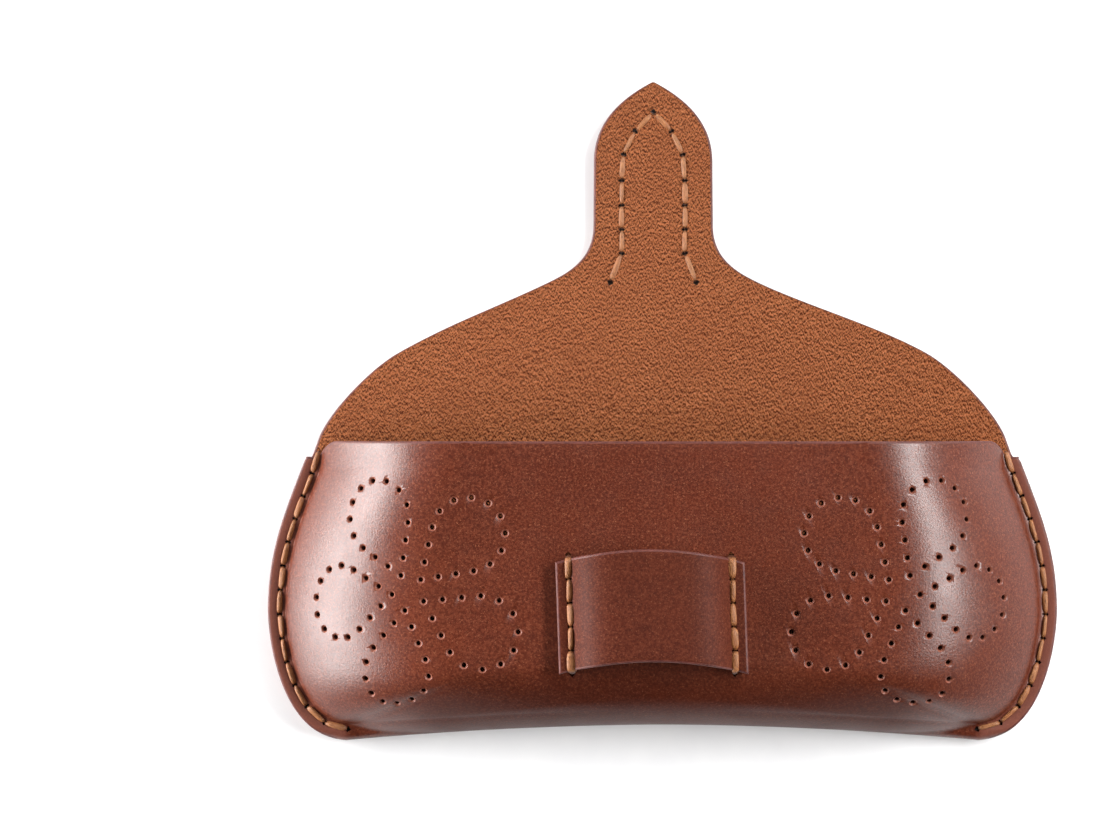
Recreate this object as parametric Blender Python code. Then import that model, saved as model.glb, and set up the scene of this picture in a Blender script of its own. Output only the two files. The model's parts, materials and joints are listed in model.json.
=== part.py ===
"""A hand-stitched leather eyeglasses case, lying on its back with its flap open.

One leather blank makes the pocket's back, the fold along its bottom, its domed
front, and the flap that ends in a pointed tongue. The front's edges are saddle
stitched to the back, and an arched keeper strap is stitched on the front. The
flap bends at the mouth and at two lines above it, so that the tongue comes over
the front and lies under the keeper.

+X runs across the case, +Y from the bottom fold to the tongue, +Z away from the
back. Z = 0 is the back's outer face. Sizes in the constants are millimetres.
"""
import math

import bmesh
import bpy
from mathutils import Vector

MM = 0.001
LEATHER = 2.2                  # leather thickness
GAP = 0.3                      # clearance between pieces that touch
LAYERS = 2 * LEATHER + GAP     # height of two leathers, one on the other

# Outline of the pocket's right side, as two cubic curves, from mouth to bottom.
SIDE_UPPER = ((82.2, -10.6), (87.2, -23.5), (91.0, -32.2), (91.0, -46.0))
SIDE_LOWER = ((91.0, -46.0), (91.0, -51.6), (88.6, -75.1), (73.0, -76.1))
MOUTH_Y = -6.95                # the front panel's straight mouth edge
MOUTH_STRAIGHT = 75.0          # half width at which the mouth edge starts to drop
MOUTH_DROP = 3.65              # how far the mouth edge drops at its corners
MOUTH_CURVE = 0.2              # how quickly it drops, in mm per square mm
BACK_CORNER = ((79.5, -6.65), (80.9, -10.6))
BACK_CORNER_Y = -12.5          # the back follows the seam's outline below this
FOLD_HALF = 69.0               # half width of the bottom fold, between the seams
FOLD_CENTRE_Y = -72.1
FOLD_END_Y = -76.1
FOLD_END_X = 73.0
FOLD_POWER = 1.8
FOLD_RADIUS_END = LAYERS / 2   # the fold is pinched flat where the seams end
FOLD_RADIUS_CENTRE = 7.5
DOME_TOP = 26.5                # height of the front panel's outer face
DOME_POWER = 0.85
DOME_STEPS = (0.0, 0.05, 0.13, 0.24, 0.38, 0.54, 0.76, 1.0)
MARGIN = 4.0                   # flat margin outside the dome
SLOPE_STEP = 0.25              # over which the dome's slope is measured
CORE_X = 0.56                  # the dome's flat top, as a share of the outline
CORE_Y = 0.75
JOIN = 2.5                     # how far the fold reaches up onto the front
JOIN_GAP = 0.45                # the front starts this much further in

# Outline of the flap's right side, as cubic curves, from crease to tip.
FLAP_SHOULDER = ((79.4, -6.35), (77.3, -0.6), (67.5, 9.8), (61.0, 13.4))
FLAP_SLOPE = ((61.0, 13.4), (49.6, 19.8), (36.8, 23.8), (25.0, 29.3))
FLAP_FILLET = ((25.0, 29.3), (20.0, 31.7), (13.8, 34.6), (13.8, 43.0))
FLAP_POINT = ((13.7, 56.0), (13.7, 60.0), (14.2, 68.8), (0.0, 76.1))
TONGUE_SHIFT = -2.1            # the tongue stands a little left of centre

TONGUE_SHIFT_START = 13.0      # from here up, the shift comes in
TONGUE_SHIFT_LENGTH = 17.0

# The flap's three bending lines.
CREASE_Y = -6.5
BEND_Y = 14.0
CURL_Y = 21.0

# The keeper strap.
KEEPER_X = -3.0
KEEPER_HALF = 21.4
KEEPER_TOP_Y = -31.1
KEEPER_BOTTOM_Y = -56.4
KEEPER_MIDDLE_Y = -45.0
KEEPER_DROP = 3.1              # how far its ends lie below its middle
KEEPER_LEAN = 0.035            # its ends lean to the right towards the bottom
KEEPER_SPAN = 16.7             # half width of the arch between its flat tabs
KEEPER_RISE = 6.6              # room under its middle for the tongue
KEEPER_ROUND = 5               # the arch's power: higher is flatter on top
KEEPER_STEPS = (0.0, 0.3, 0.55, 0.72, 0.85, 0.94, 1.0)
KEEPER_STITCH = 18.4           # its stitch lines' distance from its middle

# Saddle stitching.
STITCH_INSET = 2.7
STITCH_PITCH = 5.6
SEAM_HOLES = 13
SEAM_START_Y = -14.3
SEAM_FIRST = (79.2, -9.3)      # the first hole, past the front's mouth edge
SEAM_TAIL = 6.0                # how far the stitch line is drawn past the seam's end
KEEPER_HOLES = 4
THREAD = 0.8                   # thread width in a hole
RUN_WIDTH = 1.2                # thread width between holes, where it is flattened
RUN_HEIGHT = 0.6
HOLE = THREAD + 2 * GAP
GROOVE = RUN_WIDTH + 2 * GAP
GROOVE_DEPTH = 1.0
TONGUE_GROOVE_DEPTH = 0.75
GROOVE_FLOOR = 0.1             # thread's clearance above the resting plane
CLEAR = 1.0                    # how far a cutter stands past what it cuts
KEEPER_RUN_DROP = 1.3          # the keeper's inner runs hang clear of the front's curve
TONGUE_STITCH_HALF = 7.3
TONGUE_STITCH_ROWS = (36.4, 41.9, 47.5, 53.2)
TONGUE_STITCH_TAIL = (9.9, 29.7)
TONGUE_STITCH_POINT = ((6.8, 59.2), (4.2, 64.6))
TONGUE_STITCH_TIP_Y = 69.0


def clear_scene():
    for obj in list(bpy.data.objects):
        bpy.data.objects.remove(obj, do_unlink=True)


def make_material(name, colour, roughness):
    material = bpy.data.materials.new(name)
    material.use_nodes = True
    shader = material.node_tree.nodes["Principled BSDF"]
    shader.inputs["Base Color"].default_value = (*colour, 1.0)
    shader.inputs["Roughness"].default_value = roughness
    shader.inputs["Metallic"].default_value = 0.0
    return material


def grain_leather(name):
    return make_material(name, (0.156, 0.034, 0.017), 0.35)


def suede_leather(name):
    return make_material(name, (0.347, 0.102, 0.040), 0.9)


def waxed_thread(name):
    return make_material(name, (0.491, 0.270, 0.110), 0.55)


def add_object(name, points, faces, material=None, origin=(0.0, 0.0, 0.0)):
    """Makes a mesh object from points in millimetres, with its faces turned outward."""
    mesh = bpy.data.meshes.new(name)
    start = Vector(origin)
    mesh.from_pydata([(Vector(p) - start) * MM for p in points], [], faces)
    work = bmesh.new()
    work.from_mesh(mesh)
    bmesh.ops.recalc_face_normals(work, faces=work.faces)
    work.to_mesh(mesh)
    work.free()
    obj = bpy.data.objects.new(name, mesh)
    bpy.context.collection.objects.link(obj)
    if material:
        mesh.materials.append(material)
    return obj


def bezier(control, count):
    """Points along a cubic curve, with both its ends."""
    points = []
    for i in range(count + 1):
        t = i / count
        weights = ((1 - t) ** 3, 3 * t * (1 - t) ** 2, 3 * t * t * (1 - t), t ** 3)
        x = sum(w * p[0] for w, p in zip(weights, control))
        y = sum(w * p[1] for w, p in zip(weights, control))
        points.append((x, y))
    return points


def mirrored(points):
    return [(-x, y) for x, y in reversed(points)]


# ---- the pocket's shape ----

def fold_y(x):
    """The bottom fold's silhouette, which is furthest out where the seams end."""
    share = abs(x) / FOLD_END_X
    return FOLD_CENTRE_Y + (FOLD_END_Y - FOLD_CENTRE_Y) * share ** FOLD_POWER


def fullness(x):
    """1 at the middle of the fold, 0 where it is pinched flat at the seams."""
    return max(0.0, 1 - (x / FOLD_HALF) ** 2)


def fold_radius(x):
    return FOLD_RADIUS_END + (FOLD_RADIUS_CENTRE - FOLD_RADIUS_END) * fullness(x)


def seam_edge():
    """The right seam's cut edge, from the mouth to where the fold ends."""
    points = bezier(SIDE_UPPER, 8)[:-1] + bezier(SIDE_LOWER, 14)
    points.append((FOLD_HALF, fold_y(FOLD_HALF)))
    return points


def fold_edge():
    """Stations across the fold, from its right end to its left end."""
    end = FOLD_HALF - GAP
    count = 16
    xs = [end * (1 - 2 * i / count) for i in range(count + 1)]
    return [(x, fold_y(x)) for x in xs]


def inward(points, i):
    """Unit vector into the pocket at a point of its outline, which runs clockwise."""
    before = points[max(i - 1, 0)]
    after = points[min(i + 1, len(points) - 1)]
    dx = after[0] - before[0]
    dy = after[1] - before[1]
    length = math.hypot(dx, dy)
    return dy / length, -dx / length


class Station:
    """One place on the pocket's outline, with the front's profile inward from it."""

    def __init__(self, point, normal, on_fold):
        self.point = point
        self.normal = normal
        self.full = fullness(point[0]) if on_fold else 0.0
        self.radius = fold_radius(point[0]) if on_fold else FOLD_RADIUS_END
        self.start = JOIN + JOIN_GAP if on_fold else 0.0
        self.base = self.offset(MARGIN)
        self.core = (point[0] * CORE_X, MOUTH_Y + (point[1] - MOUTH_Y) * CORE_Y)
        self.reach = MARGIN + math.dist(self.base, self.core)

    def offset(self, d):
        """The plan position a distance d straight in from the edge."""
        return (self.point[0] + self.normal[0] * d, self.point[1] + self.normal[1] * d)

    def plan(self, d):
        """The plan position a distance d in, turning to the dome's flat top past the margin."""
        if d <= MARGIN:
            return self.offset(d)
        t = (d - MARGIN) / (self.reach - MARGIN)
        return tuple(b + (c - b) * t for b, c in zip(self.base, self.core))

    def height(self, d):
        """The outer face's height a distance d in from the edge or the fold."""
        lip = 2 * self.radius
        if self.full > 0 and d < self.radius:
            lip = self.radius + math.sqrt(max(0.0, self.radius ** 2 - (self.radius - d) ** 2))
        foot = MARGIN * (1 - self.full)
        t = min(max((d - foot) / (self.reach - foot), 0.0), 1.0)
        rise = math.sin(math.pi / 2 * t) ** DOME_POWER
        return lip + (DOME_TOP - 2 * self.radius) * rise

    def pair(self, d):
        """Outer and inner points of the leather at d, a leather's thickness apart."""
        low = max(d - SLOPE_STEP, 0.0)
        high = d + SLOPE_STEP
        slope = (self.height(high) - self.height(low)) / (high - low)
        if high >= self.reach:
            slope = 0.0
        scale = LEATHER / math.hypot(1.0, slope)
        outer = (*self.plan(d), self.height(d))
        inner = (*self.plan(d + slope * scale), self.height(d) - scale)
        return outer, inner


def pocket_stations():
    """Every station round the pocket, from the right of the mouth to the left of it."""
    seam = seam_edge()
    fold = fold_edge()
    other = mirrored(seam)
    edge = seam + fold + other
    kinds = [False] * len(seam) + [True] * len(fold) + [False] * len(other)
    return [Station(p, inward(edge, i), kinds[i]) for i, p in enumerate(edge)]


def mouth_drop(x):
    """How far the mouth edge drops towards the seams."""
    past = max(0.0, abs(x) - MOUTH_STRAIGHT)
    return min(MOUTH_DROP, past * past * MOUTH_CURVE)


def front_section(station, at_mouth):
    """The pairs of points down one station of the front, from its edge to the dome's top."""
    foot = max(MARGIN, station.start)
    distances = [station.start] + [foot + (station.reach - foot) * s for s in DOME_STEPS]
    pairs = [station.pair(d) for d in distances]
    if at_mouth:
        pairs = [tuple((x, MOUTH_Y - mouth_drop(x), z) for x, y, z in pair) for pair in pairs]
    return pairs


def make_front_panel(stations, material):
    points = []
    rows = []
    for i, station in enumerate(stations):
        pairs = front_section(station, i in (0, len(stations) - 1))
        rows.append([(len(points) + 2 * k, len(points) + 2 * k + 1) for k in range(len(pairs))])
        for outer, inner in pairs:
            points += [outer, inner]
    faces = []
    for a, b in zip(rows, rows[1:]):
        for k in range(len(a) - 1):
            faces.append((a[k][0], b[k][0], b[k + 1][0], a[k + 1][0]))
            faces.append((a[k][1], a[k + 1][1], b[k + 1][1], b[k][1]))
        faces.append((a[0][0], a[0][1], b[0][1], b[0][0]))
    for row in (rows[0], rows[-1]):
        for k in range(len(row) - 1):
            faces.append((row[k][0], row[k + 1][0], row[k + 1][1], row[k][1]))
    faces.append((rows[0][-1][0], rows[-1][-1][0], rows[-1][-1][1], rows[0][-1][1]))
    faces.append([row[-1][0] for row in rows])
    faces.append([row[-1][1] for row in rows])
    return add_object("front_panel", points, faces, material)


def make_bottom_fold(stations, material):
    """The blank's turn under the bottom, from the back's flat up onto the front."""
    points = []
    sections = []
    arc_steps = 6
    for station in stations:
        section = []
        r = station.radius
        for k in range(arc_steps + 1):
            angle = math.pi / 2 * k / arc_steps
            for size in (r, r - LEATHER):
                x, y = station.offset(r - size * math.sin(angle))
                section.append((x, y, r - size * math.cos(angle)))
        for d in (0.25, 1.0, JOIN):
            for x, y, z in station.pair(d):
                section.append((x, y, z))
        sections.append([len(points) + k for k in range(len(section))])
        points += section
    faces = []
    for a, b in zip(sections, sections[1:]):
        for k in range(0, len(a) - 2, 2):
            faces.append((a[k], a[k + 2], b[k + 2], b[k]))
            faces.append((a[k + 1], b[k + 1], b[k + 3], a[k + 3]))
        faces.append((a[0], b[0], b[1], a[1]))
        faces.append((a[-2], a[-1], b[-1], b[-2]))
    for section in (sections[0], sections[-1]):
        for k in range(0, len(section) - 2, 2):
            faces.append((section[k], section[k + 2], section[k + 3], section[k + 1]))
    return add_object("bottom_fold", points, faces, material)


# ---- flat pieces of the blank ----

def make_plate(name, outline, bottom, top, material=None, origin=(0.0, 0.0, 0.0)):
    """A flat piece with the given outline, from height bottom to height top."""
    count = len(outline)
    points = [(x, y, z) for z in (bottom, top) for x, y in outline]
    faces = [list(range(count)), list(range(count, 2 * count))]
    for i in range(count):
        j = (i + 1) % count
        faces.append((i, j, count + j, count + i))
    return add_object(name, points, faces, material, origin)


def make_back_panel(stations, material):
    outline = list(BACK_CORNER)
    for station in stations:
        at_corner = station.point[1] > BACK_CORNER_Y
        on_fold = station.start > 0
        if not at_corner:
            outline.append(station.offset(station.radius + GAP) if on_fold else station.point)
    outline += mirrored(BACK_CORNER)
    return make_plate("back_panel", outline, 0.0, LEATHER, material)


def flap_edge():
    """The flap's right edge before the tongue's shift, from the crease to the tip."""
    edge = bezier(FLAP_SHOULDER, 7)
    edge += bezier(FLAP_SLOPE, 7)[1:]
    edge += bezier(FLAP_FILLET, 7)[1:]
    edge += bezier(FLAP_POINT, 8)
    return edge


def tongue_shift(y):
    t = min(max((y - TONGUE_SHIFT_START) / TONGUE_SHIFT_LENGTH, 0.0), 1.0)
    return TONGUE_SHIFT * t * t * (3 - 2 * t)


def edge_at(edge, y):
    """The flap's half width at a height, read between two points of its edge."""
    for (x0, y0), (x1, y1) in zip(edge, edge[1:]):
        if y0 <= y <= y1:
            return x0 + (x1 - x0) * (y - y0) / (y1 - y0)
    return edge[-1][0]


def flap_outline(low, high):
    """The outline of the flap between two heights."""
    edge = flap_edge()
    side = [(edge_at(edge, low), low)]
    side += [p for p in edge if low < p[1] < high]
    tip = high >= edge[-1][1]
    side.append((edge[-1]) if tip else (edge_at(edge, high), high))
    left = mirrored(side[:-1]) if tip else mirrored(side)
    return [(x + tongue_shift(y), y) for x, y in side + left]


# ---- the keeper ----

def keeper_rise(u):
    return KEEPER_RISE * (1 - min(abs(u) / KEEPER_SPAN, 1.0) ** KEEPER_ROUND)


def keeper_y(u, edge_y):
    return edge_y - KEEPER_DROP * (u / KEEPER_HALF) ** 2


def keeper_point(u, edge_y, z):
    y = keeper_y(u, edge_y)
    return (KEEPER_X + u - KEEPER_LEAN * (y - KEEPER_MIDDLE_Y), y, z)


def offset_line(points, distance):
    """A line moved to its left by a distance, with mitred corners."""
    angles = [math.atan2(b[1] - a[1], b[0] - a[0]) for a, b in zip(points, points[1:])]
    moved = []
    for i, (x, z) in enumerate(points):
        before = angles[max(i - 1, 0)]
        after = angles[min(i, len(angles) - 1)]
        angle = (before + after) / 2 + math.pi / 2
        length = distance / math.cos((after - before) / 2)
        moved.append((x + math.cos(angle) * length, z + math.sin(angle) * length))
    return moved


def make_keeper(material):
    """The strap, as a run of cross sections from its left tab to its right tab."""
    steps = [KEEPER_SPAN * s for s in KEEPER_STEPS] + [KEEPER_HALF]
    stations = [-u for u in reversed(steps)] + steps[1:]
    under = [(u, DOME_TOP + GAP + keeper_rise(u)) for u in stations]
    over = offset_line(under, LEATHER)
    points = []
    sections = []
    for low, high in zip(under, over):
        section = []
        for (u, z), edge_y in ((low, KEEPER_TOP_Y), (high, KEEPER_TOP_Y),
                               (high, KEEPER_BOTTOM_Y), (low, KEEPER_BOTTOM_Y)):
            section.append(keeper_point(u, edge_y, z))
        sections.append([len(points) + k for k in range(4)])
        points += section
    faces = [sections[0], sections[-1]]
    for a, b in zip(sections, sections[1:]):
        for k in range(4):
            j = (k + 1) % 4
            faces.append((a[k], a[j], b[j], b[k]))
    return add_object("keeper_strap", points, faces, material)


# ---- stitching ----

def along(points, start, pitch, count):
    """Points a pitch apart along a line, from the distance start."""
    found = []
    target = start
    travelled = 0.0
    for a, b in zip(points, points[1:]):
        length = math.dist(a, b)
        while len(found) < count and travelled + length >= target:
            t = (target - travelled) / length
            found.append((a[0] + (b[0] - a[0]) * t, a[1] + (b[1] - a[1]) * t))
            target += pitch
        travelled += length
    return found


def seam_holes(side):
    """The stitch holes of one side seam, the first just past the front's mouth edge."""
    edge = bezier(SIDE_UPPER, 40)[:-1] + bezier(SIDE_LOWER, 60)
    for x in (FOLD_HALF, FOLD_HALF - SEAM_TAIL):
        edge.append((x, fold_y(x)))
    line = []
    for i, (x, y) in enumerate(edge):
        nx, ny = inward(edge, i)
        line.append((x + nx * STITCH_INSET, y + ny * STITCH_INSET))
    line = [p for p in line if p[1] <= SEAM_START_Y]
    holes = [SEAM_FIRST] + along(line, 0.0, STITCH_PITCH, SEAM_HOLES)
    return [(side * x, y) for x, y in holes]


def keeper_holes(side):
    """The stitch holes of one keeper tab, with one past each edge of the strap."""
    u = side * KEEPER_STITCH
    top = keeper_y(u, KEEPER_TOP_Y) + THREAD
    bottom = keeper_y(u, KEEPER_BOTTOM_Y) - THREAD
    gaps = KEEPER_HOLES + 1
    ys = [top + (bottom - top) * i / gaps for i in range(gaps + 1)]
    return [(KEEPER_X + u - KEEPER_LEAN * (y - KEEPER_MIDDLE_Y), y) for y in ys]


def tongue_holes():
    """The stitch holes that outline the tongue, up its right side and down its left."""
    right = [TONGUE_STITCH_TAIL]
    right += [(TONGUE_STITCH_HALF, y) for y in TONGUE_STITCH_ROWS]
    right += list(TONGUE_STITCH_POINT)
    holes = right + [(0.0, TONGUE_STITCH_TIP_Y)] + mirrored(right)
    return [(x + TONGUE_SHIFT, y) for x, y in holes]


def directions(holes):
    """Unit vectors along a line of holes, one for each hole."""
    units = []
    for i in range(len(holes)):
        a = holes[max(i - 1, 0)]
        b = holes[min(i + 1, len(holes) - 1)]
        length = math.dist(a, b)
        units.append(((b[0] - a[0]) / length, (b[1] - a[1]) / length))
    return units


def cross_section(centre, unit, width, low, high):
    """Four corners of a thread's section: two low ones, then two high ones."""
    nx = -unit[1] * width / 2
    ny = unit[0] * width / 2
    left = (centre[0] + nx, centre[1] + ny)
    right = (centre[0] - nx, centre[1] - ny)
    return [(*left, low), (*right, low), (*right, high), (*left, high)]


def rail(holes, low, high, points):
    """One face's run of thread. Returns its sections, two at each hole and one between."""
    units = directions(holes)
    sections = []

    def add(centre, unit, width):
        sections.append([len(points) + k for k in range(4)])
        points.extend(cross_section(centre, unit, width, low, high))

    for i, (hole, unit) in enumerate(zip(holes, units)):
        for end in (-1, 1):
            shift = end * THREAD / 2
            add((hole[0] + unit[0] * shift, hole[1] + unit[1] * shift), unit, THREAD)
        if i + 1 < len(holes):
            after = holes[i + 1]
            length = math.dist(hole, after)
            middle = ((hole[0] + after[0]) / 2, (hole[1] + after[1]) / 2)
            add(middle, ((after[0] - hole[0]) / length, (after[1] - hole[1]) / length), RUN_WIDTH)
    return sections


def make_thread(name, holes, upper, lower, material, origin=(0.0, 0.0, 0.0)):
    """A saddle-stitched thread: a run on each face, joined by a post in each hole."""
    points = []
    faces = []
    rails = []
    for low, open_side in ((upper, 0), (lower, 2)):
        sections = rail(holes, low, low + RUN_HEIGHT, points)
        for i, (a, b) in enumerate(zip(sections, sections[1:])):
            at_hole = i % 3 == 0
            for k in range(4):
                j = (k + 1) % 4
                if not (at_hole and k == open_side):
                    faces.append((a[k], a[j], b[j], b[k]))
        faces += [sections[0], sections[-1]]
        rails.append(sections)
    for i in range(len(holes)):
        top = rails[0][3 * i], rails[0][3 * i + 1]
        under = rails[1][3 * i], rails[1][3 * i + 1]
        ring = (top[0][0], top[0][1], top[1][1], top[1][0])
        foot = (under[0][3], under[0][2], under[1][2], under[1][3])
        for k in range(4):
            j = (k + 1) % 4
            faces.append((ring[k], ring[j], foot[j], foot[k]))
    return add_object(name, points, faces, material, origin)


def make_punches(name, hole_lines, low, high):
    """Square punches at the holes, each turned along its line of stitches."""
    points = []
    faces = []
    for holes in hole_lines:
        for hole, unit in zip(holes, directions(holes)):
            first = len(points)
            for end in (-1, 1):
                shift = end * HOLE / 2
                centre = (hole[0] + unit[0] * shift, hole[1] + unit[1] * shift)
                points += cross_section(centre, unit, HOLE, low, high)
            a = [first + k for k in range(4)]
            b = [first + 4 + k for k in range(4)]
            faces += [a, b]
            for k in range(4):
                j = (k + 1) % 4
                faces.append((a[k], a[j], b[j], b[k]))
    return as_cutter(add_object(name, points, faces))


def make_grooves(name, hole_lines, low, high):
    """Stitching grooves: a square channel along each line of holes."""
    points = []
    faces = []
    for holes in hole_lines:
        units = directions(holes)
        path = list(holes)
        for end in (0, -1):
            way = -1 if end == 0 else 1
            reach = way * (THREAD / 2 + GAP)
            path[end] = (holes[end][0] + units[end][0] * reach, holes[end][1] + units[end][1] * reach)
        sections = []
        for centre, unit in zip(path, units):
            sections.append([len(points) + k for k in range(4)])
            points += cross_section(centre, unit, GROOVE, low, high)
        faces += [sections[0], sections[-1]]
        for a, b in zip(sections, sections[1:]):
            for k in range(4):
                j = (k + 1) % 4
                faces.append((a[k], a[j], b[j], b[k]))
    return as_cutter(add_object(name, points, faces))


def as_cutter(obj):
    obj.hide_render = True
    obj.display_type = "WIRE"
    return obj


def cut(obj, cutter):
    modifier = obj.modifiers.new(cutter.name, "BOOLEAN")
    modifier.operation = "DIFFERENCE"
    modifier.solver = "EXACT"
    modifier.object = cutter


# ---- the moving flap ----

def make_axis(name, y, parent=None):
    """An empty on a bending line, at the height of the leather's inner face."""
    axis = bpy.data.objects.new(name, None)
    bpy.context.collection.objects.link(axis)
    axis.location = Vector((0.0, y, LEATHER)) * MM
    if parent:
        axis.location -= parent.matrix_world.translation
        axis.parent = parent
    bpy.context.view_layer.update()
    return axis


def hang(obj, axis):
    obj.parent = axis
    return obj


def make_flap():
    crease = make_axis("crease_axis", CREASE_Y)
    bend = make_axis("bend_axis", BEND_Y, crease)
    curl = make_axis("curl_axis", CURL_Y, bend)
    half = GAP / 2
    pieces = (
        ("flap_back", CREASE_Y + half, BEND_Y - half, CREASE_Y, crease),
        ("flap_bridge", BEND_Y + half, CURL_Y - half, BEND_Y, bend),
        ("flap_tongue", CURL_Y + half, FLAP_POINT[-1][1], CURL_Y, curl),
    )
    made = {}
    for name, low, high, axis_y, axis in pieces:
        origin = (0.0, axis_y, LEATHER)
        outline = flap_outline(low, high)
        plate = make_plate(name, outline, 0.0, LEATHER, suede_leather(name), origin)
        made[name] = hang(plate, axis)
    holes = tongue_holes()
    upper = LEATHER - TONGUE_GROOVE_DEPTH + GAP
    cut(made["flap_tongue"], make_grooves("tongue_groove_inner", [holes],
                                          LEATHER - TONGUE_GROOVE_DEPTH, LEATHER + CLEAR))
    cut(made["flap_tongue"], make_grooves("tongue_groove_outer", [holes], -CLEAR, GROOVE_DEPTH))
    cut(made["flap_tongue"], make_punches("tongue_punches", [holes], -2 * CLEAR, LEATHER + 2 * CLEAR))
    thread = make_thread("tongue_thread", holes, upper, GROOVE_FLOOR,
                         waxed_thread("tongue_thread"), (0.0, CURL_Y, LEATHER))
    hang(thread, curl)


def make_pocket():
    stations = pocket_stations()
    fold_stations = [s for s in stations if s.start > 0]
    back = make_back_panel(stations, grain_leather("back_panel"))
    front = make_front_panel(stations, grain_leather("front_panel"))
    make_bottom_fold(fold_stations, grain_leather("bottom_fold"))
    keeper = make_keeper(grain_leather("keeper_strap"))
    sides = {"right": 1, "left": -1}
    seams = {word: seam_holes(side) for word, side in sides.items()}
    tabs = {word: keeper_holes(side) for word, side in sides.items()}
    grooves = make_grooves("seam_grooves", seams.values(), -CLEAR, GROOVE_DEPTH)
    seam_punches = make_punches("seam_punches", seams.values(), -2 * CLEAR, LAYERS + 2 * CLEAR)
    tab_punches = make_punches("tab_punches", tabs.values(), DOME_TOP - 2 * LEATHER,
                               DOME_TOP + 2 * LEATHER + CLEAR)
    cut(back, grooves)
    cut(back, seam_punches)
    cut(front, seam_punches)
    cut(front, tab_punches)
    cut(keeper, tab_punches)
    for word in sides:
        make_thread("side_thread_" + word, seams[word], LAYERS + GAP, GROOVE_FLOOR,
                    waxed_thread("side_thread_" + word))
        make_thread("keeper_thread_" + word, tabs[word], DOME_TOP + LEATHER + 2 * GAP,
                    DOME_TOP - LEATHER - RUN_HEIGHT - KEEPER_RUN_DROP,
                    waxed_thread("keeper_thread_" + word))


clear_scene()
make_pocket()
make_flap()
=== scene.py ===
"""The looks of the leather eyeglasses case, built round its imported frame.

Leather pieces are fine shells with bevelled rims, real punched holes and their
own grain, suede and burnished-edge materials. Stitches are modelled one by one.
Lengths in the constants are millimetres unless a name says otherwise.
"""
import json
import math
import random
from collections import namedtuple

import bmesh
import bpy
import numpy as np
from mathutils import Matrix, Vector
from mathutils.bvhtree import BVHTree
from mathutils.kdtree import KDTree


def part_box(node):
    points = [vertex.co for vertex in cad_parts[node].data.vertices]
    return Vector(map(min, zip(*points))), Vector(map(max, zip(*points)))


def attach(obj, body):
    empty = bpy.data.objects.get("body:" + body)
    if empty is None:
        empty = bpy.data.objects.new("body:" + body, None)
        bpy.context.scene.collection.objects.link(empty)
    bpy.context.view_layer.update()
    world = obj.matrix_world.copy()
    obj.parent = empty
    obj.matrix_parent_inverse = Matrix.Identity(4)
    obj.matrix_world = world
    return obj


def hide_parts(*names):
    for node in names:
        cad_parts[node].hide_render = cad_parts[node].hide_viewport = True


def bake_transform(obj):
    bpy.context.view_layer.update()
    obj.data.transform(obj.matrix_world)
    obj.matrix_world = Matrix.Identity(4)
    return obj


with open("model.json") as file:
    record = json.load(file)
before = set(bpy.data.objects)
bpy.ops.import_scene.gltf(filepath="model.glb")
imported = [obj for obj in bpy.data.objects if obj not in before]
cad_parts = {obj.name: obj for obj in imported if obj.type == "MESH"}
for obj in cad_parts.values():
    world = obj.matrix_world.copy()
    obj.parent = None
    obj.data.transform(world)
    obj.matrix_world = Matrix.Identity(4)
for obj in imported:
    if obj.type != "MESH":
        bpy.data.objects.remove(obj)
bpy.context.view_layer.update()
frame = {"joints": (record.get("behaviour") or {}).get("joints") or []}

MM = 0.001
GRAIN, SUEDE, RIM = 0, 1, 2  # material slots of every leather shell


def box_mm(node):
    low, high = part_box(node)
    return Vector(low) / MM, Vector(high) / MM


JOINT_Y = {joint["name"]: joint["pos_m"][1] / MM for joint in frame["joints"]}
BEND_Y = JOINT_Y["flap_bend"]
CURL_Y = JOINT_Y["flap_curl"]
LEATHER = box_mm("back_panel")[1].z
LAYERS = 2 * LEATHER + 0.3
DOME_TOP = box_mm("front_panel")[1].z
MOUTH_Y = box_mm("front_panel")[1].y
TIP_Y = box_mm("flap_tongue")[1].y
KEEPER_LOW, KEEPER_HIGH = box_mm("keeper_strap")

# The pocket's outline and dome.
SIDE_UPPER = ((82.2, -10.6), (87.2, -23.5), (91.0, -32.2), (91.0, -46.0))
SIDE_LOWER = ((91.0, -46.0), (91.0, -51.6), (88.6, -75.1), (73.0, -76.1))
MOUTH_STRAIGHT = 75.0
FOLD_HALF = 69.0
FOLD_CENTRE_Y = -72.1
FOLD_END_X = 73.0
FOLD_END_Y = -76.1
FOLD_POWER = 1.8
FOLD_RADIUS_CENTRE = 7.5
DOME_POWER = 0.85
FOLD_FULLNESS = 0.3
MARGIN = 4.0
CORE_X = 0.56
CORE_Y = 0.75
CROWN = 0.35  # how far the dome's top falls from its middle
CROWN_REACH = 26.0
CORNER_SOFTENING = 110  # smoothing passes over the dome's top outline
JUNCTION_X = 75.6  # where the seams end and the fold begins
CORNER_Y = -60.0
NORMAL_SOFTENING = 36  # and over the directions in from the outline
CORNER_ROUND = 7.0  # the seams round over this near the fold's ends
FOOT_POWER = 7
RIM_ROUND = 0.5  # radius of the burnished cut edges
RIM_STEPS = (0.0, 0.06, 0.2, 0.5)
RIM_FACES = len(RIM_STEPS) - 1
SHOULDER_STEPS = (0.3, 0.6, 0.85, 1.0)  # shares of the mouth edge's quarter turn
MOUTH_END_DROP = 3.65  # the mouth falls away past its straight part
MOUTH_CURVE = 0.2
MOUTH_HALF = 82.0
FRONT_STEPS = 30  # rows up the dome, crowded towards its foot
FRONT_CROWDING = 1.35
CORE_STEPS = 16  # and over its top
FOLD_CROWDING = 1.8
FOLD_STEPS = 14
BACK_STEPS = 22
GROOVE_DEPTH = 0.3  # the front's seam pulls the leather in
GROOVE_WIDTH = 0.75
GROOVE_FADE = (1.0, 3.0)
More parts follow.
